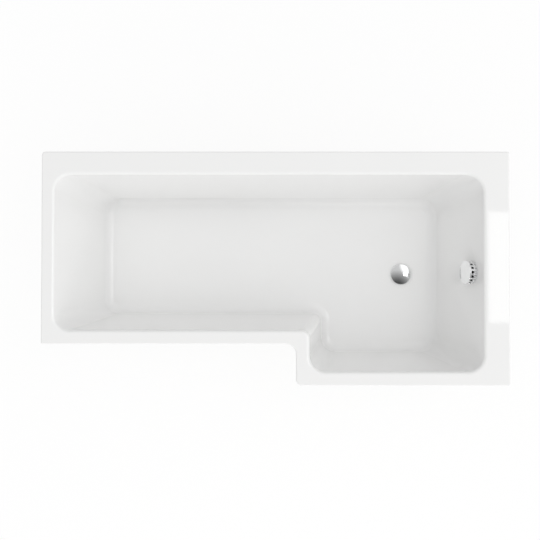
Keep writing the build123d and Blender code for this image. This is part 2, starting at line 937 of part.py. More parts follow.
def hose_circle(path, distance, radius):
    """A circle across the hose, its X axis kept along the bath's Y."""
    share = distance / path.length
    plane = Plane(origin=path @ share, x_dir=(0, 1, 0), z_dir=path % share)
    return Wire.make_circle(radius, plane)


def overflow_hose():
    """Ribbed between two plain cuffs, with a smooth bore."""
    path = hose_path()
    length = path.length
    rib_count = int((length - 2 * cuff_length) // rib_pitch)
    pitch = (length - 2 * cuff_length) / rib_count
    circles = [hose_circle(path, 0, hose_crest)]
    for i in range(rib_count):
        start = cuff_length + i * pitch
        crest = start + pitch - rib_crest
        circles.append(hose_circle(path, start, hose_crest))
        circles.append(hose_circle(path, start + rib_slope, hose_valley))
        circles.append(hose_circle(path, crest - rib_slope, hose_valley))
        circles.append(hose_circle(path, crest, hose_crest))
    circles.append(hose_circle(path, length, hose_crest))
    hose = Solid.make_loft(circles, ruled=True)
    bore = sweep(Plane(origin=path @ 0, z_dir=path % 0) * Circle(hose_bore), path=path)
    return hose - bore


def port_frames():
    """The ends of the two ports that the hose joins, each pointing along the hose."""
    waste = Plane(origin=(waste_x + port_length, y_waste, z_recess + port_height), z_dir=(1, 0, 0))
    down = (-sin(tap_slope), 0, -cos(tap_slope))
    return waste, Plane(origin=to_bath((0, spigot_length, hose_plane)), z_dir=down)


def union_nut(frame):
    """A ring nut with grips, over the end of a port and the hose's cuff."""
    low, high = -union_cover, union_length - union_cover
    nut = disc(union_radius - grip_radius / 2, low, high)
    for i in range(union_grips):
        nut += Rot(0, 0, 360 * i / union_grips) * Pos(union_radius - grip_radius, 0, 0) * disc(
            grip_radius, low, high)
    return frame.location * (nut - disc(port_radius + union_gap, low, high))


def hose_washers():
    washer = ring(port_radius, port_bore, 0, washer_thickness)
    return group([frame.location * washer for frame in port_frames()])


def pull_cable():
    """The cable's sheath, from the overflow's gland to the gland on the crank's box."""
    start = to_bath(gland_line(gland_end - gland_grip))
    x, y, w = gland_line(gland_end)
    run = cable_offset - x
    top_corner = to_bath((cable_offset, y + run, w))
    end = Vector(waste_x + gland_face() - gland_grip, y_waste + cable_offset, z_recess + cable_height())
    down = Vector(-sin(tap_slope), 0, -cos(tap_slope))
    aslant = (top_corner - start).normalized()
    low_corner = top_corner + down * ((top_corner.Z - end.Z) / -down.Z)
    first = bend(top_corner, tuple(aslant), tuple(down), cable_top_bend)
    second = bend(low_corner, tuple(down), (-1, 0, 0), cable_bend)
    path = Wire(
        [
            Edge.make_line(start, first[0]),
            Edge.make_three_point_arc(*first),
            Edge.make_line(first[2], second[0]),
            Edge.make_three_point_arc(*second),
            Edge.make_line(second[2], end),
        ]
    )
    return sweep(Plane(origin=start, z_dir=aslant) * Circle(cable_radius), path=path)


# Writing the pieces out

waste_parts = (
    waste_flange,
    waste_flange_seal,
    waste_body_seal,
    waste_body,
    lever_cover,
    plug_cap,
    plug_stem,
    plug_seal,
    lift_lever,
    lever_axle,
    axle_crank,
)
overflow_parts = (
    overflow_grille,
    overflow_seal,
    overflow_body,
    overflow_knob,
    knob_spindle,
    cable_drum,
    spindle_clip,
)
pieces = {
    "bath_shell": bath_shell(),
    "glassfibre_backing": glassfibre_backing(),
    "base_board": base_board(),
    "rail_screws": group(rail_screw_set(screw_shank_radius)),
    "foot_lock_nuts": foot_lock_nuts(),
    "wall_brackets": wall_brackets(),
    "bracket_screws": group(bracket_screw_set(screw_shank_radius)),
    "overflow_hose": overflow_hose(),
    "hose_nut_lower": union_nut(port_frames()[0]),
    "hose_nut_upper": union_nut(port_frames()[1]),
    "hose_washers": hose_washers(),
    "pull_cable": pull_cable(),
}
for name in battens():
    pieces[name] = batten(name)
for name in rails():
    pieces[name] = leg_rail(name)
for spot in feet():
    pieces["foot_stud_" + spot] = foot_stud(spot)
    pieces["foot_pad_" + spot] = foot_pad(spot)
for make in waste_parts:
    pieces[make.__name__] = at_waste(make())
for make in overflow_parts:
    pieces[make.__name__] = at_overflow(make())

os.makedirs("parts", exist_ok=True)
for name, shape in pieces.items():
    export_step(shape, f"parts/{name}.step")
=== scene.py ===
import json
from math import pi, radians, sqrt, tau

import bmesh
import bpy
from mathutils import Matrix, Vector


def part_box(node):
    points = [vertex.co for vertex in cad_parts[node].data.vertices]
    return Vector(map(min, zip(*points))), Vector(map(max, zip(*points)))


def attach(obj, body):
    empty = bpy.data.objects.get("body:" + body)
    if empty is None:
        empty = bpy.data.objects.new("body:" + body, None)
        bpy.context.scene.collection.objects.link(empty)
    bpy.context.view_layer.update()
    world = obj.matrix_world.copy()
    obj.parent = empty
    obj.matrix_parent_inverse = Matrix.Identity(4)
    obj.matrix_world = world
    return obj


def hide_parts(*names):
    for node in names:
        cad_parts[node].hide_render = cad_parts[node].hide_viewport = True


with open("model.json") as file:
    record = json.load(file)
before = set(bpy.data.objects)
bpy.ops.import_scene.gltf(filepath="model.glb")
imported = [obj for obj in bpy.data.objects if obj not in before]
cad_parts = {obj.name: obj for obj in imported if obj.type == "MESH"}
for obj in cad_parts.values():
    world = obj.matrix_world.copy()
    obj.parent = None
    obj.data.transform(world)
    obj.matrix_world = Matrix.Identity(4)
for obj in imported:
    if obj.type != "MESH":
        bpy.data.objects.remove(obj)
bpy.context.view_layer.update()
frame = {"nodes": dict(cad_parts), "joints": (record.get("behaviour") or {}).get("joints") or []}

# An L-shaped shower bath, seen from above in a plain pale studio. Metres throughout.

mergeGap = 1e-6  # vertices nearer than this are one
white = (1.0, 1.0, 1.0, 1.0)

scene = bpy.context.scene
scene.view_settings.view_transform = "Standard"
print("frame loaded:", len(frame["nodes"]), "nodes")


# Camera

cameraView = {
    "place": (-0.004, -0.1124, 4.5507),
    "tilt": (1.52, 0.22, 0.04),  # degrees about X, Y and Z, from looking straight down
    "lens": 73.8,
    "sensor": 36.0,
}


def makeCamera(view):
    camera = bpy.data.objects.new("camera", bpy.data.cameras.new("camera"))
    scene.collection.objects.link(camera)
    camera.location = view["place"]
    camera.rotation_euler = [radians(angle) for angle in view["tilt"]]
    camera.data.lens = view["lens"]
    camera.data.sensor_width = view["sensor"]
    camera.data.sensor_fit = "HORIZONTAL"
    camera.data.clip_end = 100.0
    scene.camera = camera


makeCamera(cameraView)
print("camera placed")


# Nodes and node groups for the materials


def addNode(tree, kind, inputs=None, **settings):
    node = tree.nodes.new(kind)
    for key, value in settings.items():
        setattr(node, key, value)
    for key, value in (inputs or {}).items():
        node.inputs[key].default_value = value
    return node


def addRamp(tree, source, stops):
    ramp = addNode(tree, "ShaderNodeValToRGB")
    elements = ramp.color_ramp.elements
    while len(elements) < len(stops):
        elements.new(0.5)
    for element, (position, colour) in zip(elements, stops):
        element.position = position
        element.color = (*colour, 1.0)
    tree.links.new(source, ramp.inputs[0])
    return ramp.outputs["Color"]


def addMap(tree, source, low, high, newLow, newHigh):
    spread = addNode(tree, "ShaderNodeMapRange")
    for key, value in zip(("From Min", "From Max", "To Min", "To Max"), (low, high, newLow, newHigh)):
        spread.inputs[key].default_value = value
    tree.links.new(source, spread.inputs["Value"])
    return spread.outputs["Result"]


def newGroup(name, inputs, outputs):
    group = bpy.data.node_groups.new(name, "ShaderNodeTree")
    for title, kind, value in inputs:
        socket = group.interface.new_socket(title, in_out="INPUT", socket_type=kind)
        if value is not None:
            socket.default_value = value
    for title, kind in outputs:
        group.interface.new_socket(title, in_out="OUTPUT", socket_type=kind)
    return group, group.nodes.new("NodeGroupInput"), group.nodes.new("NodeGroupOutput")


# Soft mottling and a fine grain, for moulded and plated surfaces
def makeGrainGroup():
    group, given, result = newGroup(
        "surfaceGrain",
        [
            ("Vector", "NodeSocketVector", None),
            ("Mottle Scale", "NodeSocketFloat", 6.0),
            ("Grain Scale", "NodeSocketFloat", 800.0),
        ],
        [("Mottle", "NodeSocketFloat"), ("Grain", "NodeSocketFloat")],
    )
    mottle = addNode(group, "ShaderNodeTexNoise", {"Detail": 4.0, "Roughness": 0.6})
    grain = addNode(group, "ShaderNodeTexNoise", {"Detail": 3.0, "Roughness": 0.5})
    for noise, scale in ((mottle, "Mottle Scale"), (grain, "Grain Scale")):
        group.links.new(given.outputs["Vector"], noise.inputs["Vector"])
        group.links.new(given.outputs[scale], noise.inputs["Scale"])
    group.links.new(mottle.outputs["Fac"], result.inputs["Mottle"])
    group.links.new(grain.outputs["Fac"], result.inputs["Grain"])
    return group


strandTurns = ((0.3, 0.2, 0.4), (0.1, 0.9, 1.5), (0.5, -0.6, 2.4), (0.2, -1.2, 0.9), (0.4, 1.5, 0.2))


# Short strands that lie every way in set resin
def makeStrandGroup():
    group, given, result = newGroup(
        "glassStrands",
        [("Vector", "NodeSocketVector", None), ("Strand Scale", "NodeSocketFloat", 60.0)],
        [("Strands", "NodeSocketFloat"), ("Resin", "NodeSocketFloat")],
    )
    most = None
    for turn in strandTurns:
        stretch = {"Rotation": turn, "Scale": (9.0, 1.0, 1.0)}
        lay = addNode(group, "ShaderNodeMapping", stretch, vector_type="TEXTURE")
        group.links.new(given.outputs["Vector"], lay.inputs["Vector"])
        streak = addNode(group, "ShaderNodeTexNoise", {"Detail": 2.0, "Roughness": 0.5})
        group.links.new(lay.outputs["Vector"], streak.inputs["Vector"])
        group.links.new(given.outputs["Strand Scale"], streak.inputs["Scale"])
        sharp = addMap(group, streak.outputs["Fac"], 0.56, 0.64, 0.0, 1.0)
        if most is None:
            most = sharp
        else:
            upper = addNode(group, "ShaderNodeMath", operation="MAXIMUM")
            group.links.new(most, upper.inputs[0])
            group.links.new(sharp, upper.inputs[1])
            most = upper.outputs[0]
    resin = addNode(group, "ShaderNodeTexNoise", {"Scale": 9.0, "Detail": 5.0, "Roughness": 0.62})
    group.links.new(given.outputs["Vector"], resin.inputs["Vector"])
    group.links.new(most, result.inputs["Strands"])
    group.links.new(resin.outputs["Fac"], result.inputs["Resin"])
    return group


# Growth lines along the piece's X, and pores between them
def makeWoodGroup():
    group, given, result = newGroup(
        "timberGrain",
        [("Vector", "NodeSocketVector", None), ("Ring Scale", "NodeSocketFloat", 60.0)],
        [("Figure", "NodeSocketFloat"), ("Pores", "NodeSocketFloat")],
    )
    drawn = addNode(group, "ShaderNodeMapping", {"Scale": (0.12, 1.0, 1.0)})
    group.links.new(given.outputs["Vector"], drawn.inputs["Vector"])
    rings = addNode(
        group,
        "ShaderNodeTexWave",
        {"Distortion": 6.0, "Detail": 3.0, "Detail Scale": 1.4},
        wave_type="BANDS",
        bands_direction="Y",
    )
    pores = addNode(group, "ShaderNodeTexNoise", {"Scale": 520.0, "Detail": 3.0})
    group.links.new(drawn.outputs["Vector"], rings.inputs["Vector"])
    group.links.new(given.outputs["Ring Scale"], rings.inputs["Scale"])
    group.links.new(drawn.outputs["Vector"], pores.inputs["Vector"])
    group.links.new(rings.outputs["Fac"], result.inputs["Figure"])
    group.links.new(pores.outputs["Fac"], result.inputs["Pores"])
    return group


# Flat flakes, each with a tone of its own: pressed chips, or the crystals of a zinc coat
def makeFlakeGroup():
    group, given, result = newGroup(
        "flakes",
        [
            ("Vector", "NodeSocketVector", None),
            ("Flake Scale", "NodeSocketFloat", 200.0),
            ("Stretch", "NodeSocketFloat", 0.35),
        ],
        [("Tone", "NodeSocketFloat"), ("Edge", "NodeSocketFloat")],
    )
    bent = addNode(group, "ShaderNodeTexNoise", {"Scale": 40.0, "Detail": 2.0})
    group.links.new(given.outputs["Vector"], bent.inputs["Vector"])
    shift = addNode(group, "ShaderNodeVectorMath", {1: (0.012, 0.012, 0.012)}, operation="MULTIPLY")
    group.links.new(bent.outputs["Color"], shift.inputs[0])
    moved = addNode(group, "ShaderNodeVectorMath", operation="ADD")
    group.links.new(given.outputs["Vector"], moved.inputs[0])
    group.links.new(shift.outputs[0], moved.inputs[1])
    squeeze = addNode(group, "ShaderNodeCombineXYZ", {"Y": 1.0, "Z": 1.0})
    group.links.new(given.outputs["Stretch"], squeeze.inputs["X"])
    spread = addNode(group, "ShaderNodeVectorMath", operation="MULTIPLY")
    group.links.new(moved.outputs[0], spread.inputs[0])
    group.links.new(squeeze.outputs[0], spread.inputs[1])
    cells = addNode(group, "ShaderNodeTexVoronoi", feature="F1")
    edges = addNode(group, "ShaderNodeTexVoronoi", feature="DISTANCE_TO_EDGE")
    for cell in (cells, edges):
        group.links.new(spread.outputs[0], cell.inputs["Vector"])
        group.links.new(given.outputs["Flake Scale"], cell.inputs["Scale"])
    tone = addNode(group, "ShaderNodeSeparateColor")
    group.links.new(cells.outputs["Color"], tone.inputs[0])
    group.links.new(tone.outputs[0], result.inputs["Tone"])
    group.links.new(addMap(group, edges.outputs["Distance"], 0.0, 0.12, 0.0, 1.0), result.inputs["Edge"])
    return group


grainGroup = makeGrainGroup()
strandGroup = makeStrandGroup()
woodGroup = makeWoodGroup()
flakeGroup = makeFlakeGroup()


# A new material, with its tree, its shader and the piece's own coordinates
def startMaterial(name, roughness, metallic=0.0):
    material = bpy.data.materials.new(name)
    material.use_nodes = True
    tree = material.node_tree
    shader = tree.nodes["Principled BSDF"]
    shader.inputs["Roughness"].default_value = roughness
    shader.inputs["Metallic"].default_value = metallic
    place = addNode(tree, "ShaderNodeTexCoord")
    return material, tree, shader, place.outputs["Object"]


def addBump(tree, shader, height, strength, distance):
    bump = addNode(tree, "ShaderNodeBump", {"Strength": strength, "Distance": distance})
    tree.links.new(height, bump.inputs["Height"])
    tree.links.new(bump.outputs["Normal"], shader.inputs["Normal"])


# Places a group in a material, with its vector and values
def placeGroup(tree, group, vector, **values):
    placed = addNode(tree, "ShaderNodeGroup", node_tree=group)
    for key, value in values.items():
        placed.inputs[key.replace("_", " ")].default_value = value
    tree.links.new(vector, placed.inputs["Vector"])
    return placed


# Plastic, rubber or plate: a colour that drifts a little, over a fine grain
def mouldedMaterial(name, look):
    material, tree, shader, place = startMaterial(name, look["roughness"], look.get("metallic", 0.0))
    if "ior" in look:
        shader.inputs["IOR"].default_value = look["ior"]
    grain = placeGroup(tree, grainGroup, place, Mottle_Scale=look["mottle"], Grain_Scale=look["grain"])
    colour = addRamp(tree, grain.outputs["Mottle"], [(0.3, look["dark"]), (0.7, look["light"])])
    tree.links.new(colour, shader.inputs["Base Color"])
    low, high = look["roughness"] - look["rub"], look["roughness"] + look["rub"]
    tree.links.new(addMap(tree, grain.outputs["Mottle"], 0.3, 0.7, low, high), shader.inputs["Roughness"])
    addBump(tree, shader, grain.outputs["Grain"], look["bump"], look["depth"])
    return material


acrylicLook = {
    "dark": (0.922, 0.922, 0.917),
    "light": (0.932, 0.932, 0.927),
    "roughness": 0.035,
    "rub": 0.012,
    "ior": 1.49,
    "mottle": 3.0,
    "grain": 90.0,
    "bump": 0.006,
    "depth": 0.0004,
}
chromeLook = {
    "dark": (0.90, 0.905, 0.91),
    "light": (0.94, 0.945, 0.95),
    "metallic": 1.0,
    "roughness": 0.06,
    "rub": 0.02,
    "mottle": 60.0,
    "grain": 900.0,
    "bump": 0.02,
    "depth": 0.0001,
}
rubberLook = {
    "dark": (0.014, 0.014, 0.014),
    "light": (0.026, 0.026, 0.025),
    "roughness": 0.72,
    "rub": 0.08,
    "mottle": 120.0,
    "grain": 2500.0,
    "bump": 0.25,
    "depth": 0.0002,
}
blackPlasticLook = {
    "dark": (0.017, 0.017, 0.018),
    "light": (0.030, 0.030, 0.032),
    "roughness": 0.42,
    "rub": 0.08,
    "mottle": 50.0,
    "grain": 1600.0,
    "bump": 0.2,
    "depth": 0.0002,
}
greyPlasticLook = {
    "dark": (0.20, 0.205, 0.21),
    "light": (0.26, 0.265, 0.27),
    "roughness": 0.38,
    "rub": 0.06,
    "mottle": 60.0,
    "grain": 1400.0,
    "bump": 0.15,
    "depth": 0.0002,
}
hoseLook = {
    "dark": (0.66, 0.66, 0.63),
    "light": (0.74, 0.74, 0.71),
    "roughness": 0.44,
    "rub": 0.06,
    "mottle": 40.0,
    "grain": 900.0,
    "bump": 0.15,
    "depth": 0.0003,
}
zincLook = {
    "dark": (0.58, 0.59, 0.60),
    "light": (0.72, 0.72, 0.71),
    "metallic": 1.0,
    "roughness": 0.30,
    "rub": 0.07,
    "mottle": 90.0,
    "grain": 1500.0,
    "bump": 0.15,
    "depth": 0.0002,
}
brassLook = {
    "dark": (0.58, 0.42, 0.16),
    "light": (0.72, 0.54, 0.24),
    "metallic": 1.0,
    "roughness": 0.26,
    "rub": 0.05,
    "mottle": 70.0,
    "grain": 1500.0,
    "bump": 0.15,
    "depth": 0.0001,
}
steelLook = {
    "dark": (0.50, 0.50, 0.50),
    "light": (0.62, 0.62, 0.61),
    "metallic": 1.0,
    "roughness": 0.24,
    "rub": 0.05,
    "mottle": 90.0,
    "grain": 2000.0,
    "bump": 0.12,
    "depth": 0.0001,
}

glassfibreLook = {
    "resin": (0.62, 0.63, 0.54),
    "thick": (0.72, 0.73, 0.65),
    "strand": (0.86, 0.87, 0.82),
    "roughness": 0.42,
    "strandRoughness": (0.34, 0.56),  # between strands, and on them
    "strandCover": 0.55,  # how far a strand hides the resin's colour
    "strandScale": 150.0,
    "bump": 0.45,
    "depth": 0.0008,
}
timberLook = {
    "early": (0.68, 0.49, 0.28),
    "late": (0.50, 0.31, 0.15),
    "pore": (0.72, 0.70, 0.68),
    "poreDepth": 0.6,  # how far the pores darken the wood
    "roughness": 0.66,
    "ringScale": 55.0,
    "bump": 0.3,
    "depth": 0.0004,
}
chipboardLook = {
    "dark": (0.42, 0.29, 0.16),
    "light": (0.70, 0.55, 0.35),
    "glue": (0.30, 0.20, 0.11),
    "roughness": 0.78,
    "flakeScale": 260.0,
    "stretch": 0.4,
    "bump": 0.35,
    "depth": 0.0005,
}
galvanisedLook = {
    "dark": (0.40, 0.42, 0.44),
    "light": (0.66, 0.68, 0.69),
    "roughness": 0.34,
    "flakeRoughness": (0.44, 0.26),  # of the darkest crystal, and of the lightest
    "flakeScale": 75.0,
    "bump": 0.12,
    "depth": 0.0001,
}


# Resin with chopped strands laid by hand
def glassfibreMaterial(look):
    material, tree, shader, place = startMaterial("glassfibre", look["roughness"])
    mat = placeGroup(tree, strandGroup, place, Strand_Scale=look["strandScale"])
    base = addRamp(tree, mat.outputs["Resin"], [(0.32, look["resin"]), (0.7, look["thick"])])
    blend = addNode(tree, "ShaderNodeMix", data_type="RGBA")
    blend.inputs[7].default_value = (*look["strand"], 1.0)
    cover = addMap(tree, mat.outputs["Strands"], 0.0, 1.0, 0.0, look["strandCover"])
    tree.links.new(cover, blend.inputs[0])
    tree.links.new(base, blend.inputs[6])
    tree.links.new(blend.outputs[2], shader.inputs["Base Color"])
    height = addNode(tree, "ShaderNodeMath", {1: 2.0}, operation="MULTIPLY_ADD")
    tree.links.new(mat.outputs["Resin"], height.inputs[0])
    tree.links.new(mat.outputs["Strands"], height.inputs[2])
    dull = addMap(tree, mat.outputs["Strands"], 0.0, 1.0, *look["strandRoughness"])
    tree.links.new(dull, shader.inputs["Roughness"])
    addBump(tree, shader, height.outputs[0], look["bump"], look["depth"])
    return material


# Sawn softwood, its grain along the piece
def timberMaterial(name, turn, look):
    material, tree, shader, place = startMaterial(name, look["roughness"])
    along = addNode(tree, "ShaderNodeMapping", {"Rotation": (0.0, 0.0, turn)})
    tree.links.new(place, along.inputs["Vector"])
    wood = placeGroup(tree, woodGroup, along.outputs["Vector"], Ring_Scale=look["ringScale"])
    colour = addRamp(tree, wood.outputs["Figure"], [(0.15, look["early"]), (0.9, look["late"])])
    shade = addRamp(tree, wood.outputs["Pores"], [(0.35, look["pore"]), (0.6, white[:3])])
    blend = addNode(tree, "ShaderNodeMix", {0: look["poreDepth"]}, data_type="RGBA", blend_type="MULTIPLY")
    tree.links.new(colour, blend.inputs[6])
    tree.links.new(shade, blend.inputs[7])
    tree.links.new(blend.outputs[2], shader.inputs["Base Color"])
    addBump(tree, shader, wood.outputs["Pores"], look["bump"], look["depth"])
    return material


# Pressed chips, with glue in the gaps
def chipboardMaterial(look):
    material, tree, shader, place = startMaterial("chipboard", look["roughness"])
    chips = placeGroup(tree, flakeGroup, place, Flake_Scale=look["flakeScale"], Stretch=look["stretch"])
    colour = addRamp(tree, chips.outputs["Tone"], [(0.0, look["dark"]), (1.0, look["light"])])
    blend = addNode(tree, "ShaderNodeMix", data_type="RGBA")
    blend.inputs[6].default_value = (*look["glue"], 1.0)
    tree.links.new(chips.outputs["Edge"], blend.inputs[0])
    tree.links.new(colour, blend.inputs[7])
    tree.links.new(blend.outputs[2], shader.inputs["Base Color"])
    addBump(tree, shader, chips.outputs["Edge"], look["bump"], look["depth"])
    return material


# Zinc-dipped sheet, with its crystals
def galvanisedMaterial(look):
    material, tree, shader, place = startMaterial("galvanisedSteel", look["roughness"], 1.0)
    spangle = placeGroup(tree, flakeGroup, place, Flake_Scale=look["flakeScale"], Stretch=1.0)
    colour = addRamp(tree, spangle.outputs["Tone"], [(0.0, look["dark"]), (1.0, look["light"])])
    tree.links.new(colour, shader.inputs["Base Color"])
    dull = addMap(tree, spangle.outputs["Tone"], 0.0, 1.0, *look["flakeRoughness"])
    tree.links.new(dull, shader.inputs["Roughness"])
    addBump(tree, shader, spangle.outputs["Edge"], look["bump"], look["depth"])
    return material


acrylic = mouldedMaterial("acrylicWhite", acrylicLook)
chrome = mouldedMaterial("chromePlate", chromeLook)
rubber = mouldedMaterial("blackRubber", rubberLook)
blackPlastic = mouldedMaterial("blackPlastic", blackPlasticLook)
greyPlastic = mouldedMaterial("greyPlastic", greyPlasticLook)
hosePlastic = mouldedMaterial("hosePlastic", hoseLook)
zinc = mouldedMaterial("zincPlate", zincLook)
brass = mouldedMaterial("turnedBrass", brassLook)
steel = mouldedMaterial("stainlessSteel", steelLook)
glassfibre = glassfibreMaterial(glassfibreLook)
chipboard = chipboardMaterial(chipboardLook)
galvanised = galvanisedMaterial(galvanisedLook)
timberLong = timberMaterial("timberLong", 0.0, timberLook)
timberCross = timberMaterial("timberCross", tau / 4, timberLook)
print("materials made")


# Finishes of the CAD nodes

slotFinish = {
    "acrylic_white": acrylic,
    "glassfibre": glassfibre,
    "chipboard": chipboard,
    "timber": timberLong,
    "galvanised_steel": galvanised,
    "zinc_steel": zinc,
    "stainless_pin": steel,
    "chrome_plate": chrome,
    "brass_turned": brass,
    "black_rubber": rubber,
    "black_plastic": blackPlastic,
    "grey_plastic": greyPlastic,
    "hose_plastic": hosePlastic,
    "cable_sheath": blackPlastic,
    "foot_plastic": blackPlastic,
}

# Timber gets its grain along its length
for node, thing in frame["nodes"].items():
    low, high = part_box(node)
    for slot in thing.material_slots:
        slot.material = slotFinish[slot.material.name.split(".")[0]]
        if slot.material == timberLong and high[1] - low[1] > high[0] - low[0]:
            slot.material = timberCross
print("CAD nodes finished")


# Shared steps of the modelled pieces


def nodeMiddle(node):
    low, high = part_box(node)
    return (Vector(low) + Vector(high)) / 2


# The finished mesh goes to its place and its body
def finishPiece(name, bm, material, slot, body, *nodes, sharp=35.0):
    bmesh.ops.remove_doubles(bm, verts=bm.verts, dist=mergeGap)
    bmesh.ops.recalc_face_normals(bm, faces=bm.faces)
    mesh = bpy.data.meshes.new(name)
    bm.to_mesh(mesh)
    bm.free()
    mesh.shade_smooth()
    mesh.set_sharp_from_angle(angle=radians(sharp))
    mesh.materials.append(material)
    piece = bpy.data.objects.new(name, mesh)
    scene.collection.objects.link(piece)
    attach(piece, body)
    if nodes:
        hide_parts(*nodes)
    return piece


# A line of radius and height turned round the Z axis
def spunMesh(outline, steps):
    bm = bmesh.new()
    corners = [bm.verts.new((radius, 0.0, height)) for radius, height in outline]
    sides = [bm.edges.new(pair) for pair in zip(corners, corners[1:])]
    bmesh.ops.spin(
        bm,
        geom=corners + sides,
        axis=(0.0, 0.0, 1.0),
        cent=(0.0, 0.0, 0.0),
        dvec=(0.0, 0.0, 0.0),
        angle=tau,
        steps=steps,
        use_merge=True,
        use_duplicate=False,
    )
    bmesh.ops.remove_doubles(bm, verts=bm.verts, dist=mergeGap)
    bmesh.ops.recalc_face_normals(bm, faces=bm.faces)
    return bm


def roundEdges(bm, edges, width, segments):
    bmesh.ops.bevel(
        bm,
        geom=edges,
        offset=width,
        offset_type="OFFSET",
        affect="EDGES",
        segments=segments,
        profile=0.5,
        material=-1,
        clamp_overlap=True,
    )


# Points along a smooth spline through few control points
def splinePoints(name, controls, fineness):
    curve = bpy.data.curves.new(name, "CURVE")
    curve.dimensions = "3D"
    spline = curve.splines.new("NURBS")
    spline.points.add(len(controls) - 1)
    for point, place in zip(spline.points, controls):
        point.co = (*place, 1.0)
    spline.order_u = 3
    spline.use_endpoint_u = True
    spline.resolution_u = fineness
    holder = bpy.data.objects.new(name, curve)
    line = bpy.data.meshes.new_from_object(holder)
    points = [vertex.co.copy() for vertex in line.vertices]
    bpy.data.objects.remove(holder)
    bpy.data.meshes.remove(line)
    bpy.data.curves.remove(curve)
    return points


def lineLength(points):
    return sum((after - before).length for before, after in zip(points, points[1:]))


# Frames at given distances along the points, their X axis turning as little as it can
def framesAlong(points, distances, side):
    frames, spot, passed = [], 0, 0.0
    for distance in distances:
        step = (points[spot + 1] - points[spot]).length
        while passed + step < distance and spot < len(points) - 2:
            passed += step
            spot += 1
            step = (points[spot + 1] - points[spot]).length
        place = points[spot].lerp(points[spot + 1], (distance - passed) / step)
        along = (points[min(spot + 2, len(points) - 1)] - points[max(spot - 1, 0)]).normalized()
        side = (side - along * side.dot(along)).normalized()
        turn = Matrix((side, along.cross(side), along)).transposed().to_4x4()
        frames.append(Matrix.Translation(place) @ turn)
    return frames


boreRings = 60  # about as many rings along a tube's bore
splineFineness = 96  # steps between two control points


# A closed tube: rings of given radii, bridged one to the next, with a bore
def tubeMesh(points, side, rings, bore, segments):
    bm = bmesh.new()
    inner = rings[:: max(1, len(rings) // boreRings)] + [rings[-1]]
    outerFrames = framesAlong(points, [ring[0] for ring in rings], side)
    innerFrames = framesAlong(points, [ring[0] for ring in inner], side)
    places = [(place, ring[1]) for place, ring in zip(outerFrames, rings)]
    places += [(place, bore) for place in reversed(innerFrames)]
    loops = []
    for place, radius in places:
        circle = bmesh.ops.create_circle(bm, cap_ends=False, segments=segments, radius=radius, matrix=place)
        loops.append(list({edge for vertex in circle["verts"] for edge in vertex.link_edges}))
    for before, after in zip(loops, loops[1:] + loops[:1]):
        bmesh.ops.bridge_loops(bm, edges=before + after)
    return bm


# Plug cap

capLook = {
    "radius": 0.042,
    "crown": 0.006,  # rise of the dome over its edge
    "crownRings": (0.86, 0.72, 0.58, 0.44, 0.3, 0.15, 0.0),  # shares of the radius
    "round": 0.003,
    "roundSegments": 8,
    "wall": 0.002,
    "room": 0.0075,  # from the dome's top down to the plate's underside
    "pin": 0.0025,
    "pinDepth": 0.003,
    "steps": 128,
}


def makePlugCap(look):
    low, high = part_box("plug_cap")
    middle = nodeMiddle("plug_cap")
    top, edge = high[2], high[2] - look["crown"]
    crownRadius = (look["radius"] ** 2 + look["crown"] ** 2) / (2 * look["crown"])
    plate = top - look["room"]
    outline = [(0.0, plate + look["pinDepth"]), (look["pin"], plate + look["pinDepth"]), (look["pin"], plate)]
    outline += [(look["radius"] - look["wall"], plate), (look["radius"] - look["wall"], low[2])]
    outline += [(look["radius"], low[2]), (look["radius"], edge)]
    for share in look["crownRings"]:
        reach = look["radius"] * share
        outline.append((reach, top - crownRadius + sqrt(crownRadius**2 - reach**2)))
    bm = spunMesh(outline, look["steps"])
    rim = [e for e in bm.edges if all(abs(v.co.z - edge) < mergeGap for v in e.verts)]
    roundEdges(bm, rim, look["round"], look["roundSegments"])
    bmesh.ops.translate(bm, verts=bm.verts, vec=(middle.x, middle.y, 0.0))
    finishPiece("plugCap", bm, chrome, "chrome_plate", "plug", "plug_cap")


makePlugCap(capLook)
print("plug cap made")


# The overflow's frame: across the wall, down the wall and out of it, from the knob's joint

joints = {joint["name"]: joint for joint in frame["joints"]}
overflowPlace = Vector(joints["knob_turn"]["pos_m"])
outOfWall = Vector(joints["knob_turn"]["axis"]).normalized()
acrossWall = Vector((0.0, 1.0, 0.0))
downWall = outOfWall.cross(acrossWall)
overflowTurn = Matrix((acrossWall, downWall, outOfWall)).transposed().to_4x4()
overflowFrame = Matrix.Translation(overflowPlace) @ overflowTurn

knobLook = {
    "radius": 0.044,
    "back": 0.0245,  # from the wall to the disc's back
    "thickness": 0.006,
    "round": 0.002,
    "roundSegments": 6,
    "edgeGap": 0.00001,  # what lies this near the radius is on the edge
    "rise": 0.0006,  # of the face's middle over its edge
    "fall": (0.55, 0.3),  # at this share of the radius, the face is this share of the rise down
    "boss": 0.009,
    "bossBack": 0.012,
    "bore": 0.004,
    "boreEnd": 0.0275,
    "steps": 128,
}


def makeKnob(look):
    front = look["back"] + look["thickness"]
    outline = [(0.0, look["boreEnd"]), (look["bore"], look["boreEnd"]), (look["bore"], look["bossBack"])]
    outline += [(look["boss"], look["bossBack"]), (look["boss"], look["back"])]
    outline += [(look["radius"], look["back"]), (look["radius"], front - look["rise"])]
    reach, drop = look["fall"]
    outline += [(look["radius"] * reach, front - look["rise"] * drop), (0.0, front)]
    bm = spunMesh(outline, look["steps"])
    outer = [e for e in bm.edges if all(v.co.xy.length > look["radius"] - look["edgeGap"] for v in e.verts)]
    rim = [e for e in outer if abs(e.verts[0].co.z - e.verts[1].co.z) < mergeGap]
    roundEdges(bm, rim, look["round"], look["roundSegments"])
    bmesh.ops.transform(bm, matrix=overflowFrame, verts=bm.verts)
    finishPiece("overflowKnob", bm, chrome, "chrome_plate", "knob", "overflow_knob")


makeKnob(knobLook)
print("overflow knob made")
